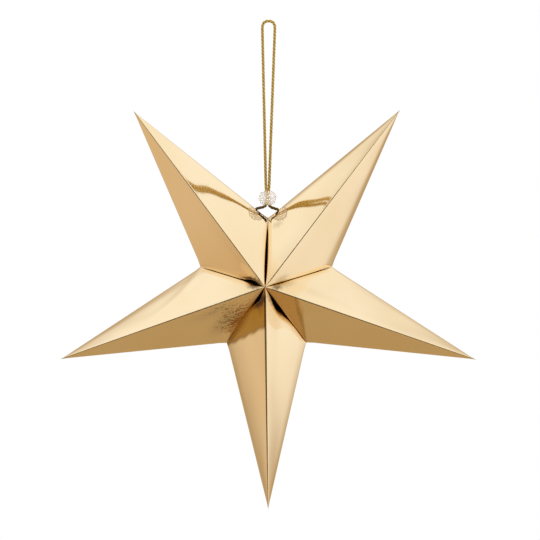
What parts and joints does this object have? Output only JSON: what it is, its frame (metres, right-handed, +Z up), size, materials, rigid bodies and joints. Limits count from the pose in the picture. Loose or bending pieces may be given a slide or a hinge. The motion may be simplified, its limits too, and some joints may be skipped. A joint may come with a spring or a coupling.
{
  "type": "hanging folded card star",
  "caption": "Star of hollow folded points in mirror-gold card, hung by a looped twisted cord that runs through a clear stopper bead.",
  "frame": {"origin": "seat of the cord's top loop, where a hook carries the star", "axes": "+Z up along the hanging line, +X across the star, its front faces -Y"},
  "size_m": [0.3014, 0.102, 0.3538],
  "materials": {
    "mirror_card": "gold mirror film on card",
    "cord": "twisted metallic yarn",
    "bead": "clear, polished"
  },
  "bodies": {
    "root": {"upper_left_point": "mirror_card", "upper_right_point": "mirror_card", "right_point": "mirror_card", "bottom_point": "mirror_card", "left_point": "mirror_card", "stopper_bead": "bead", "hanging_cord": "cord"}
  },
  "joints": []
}
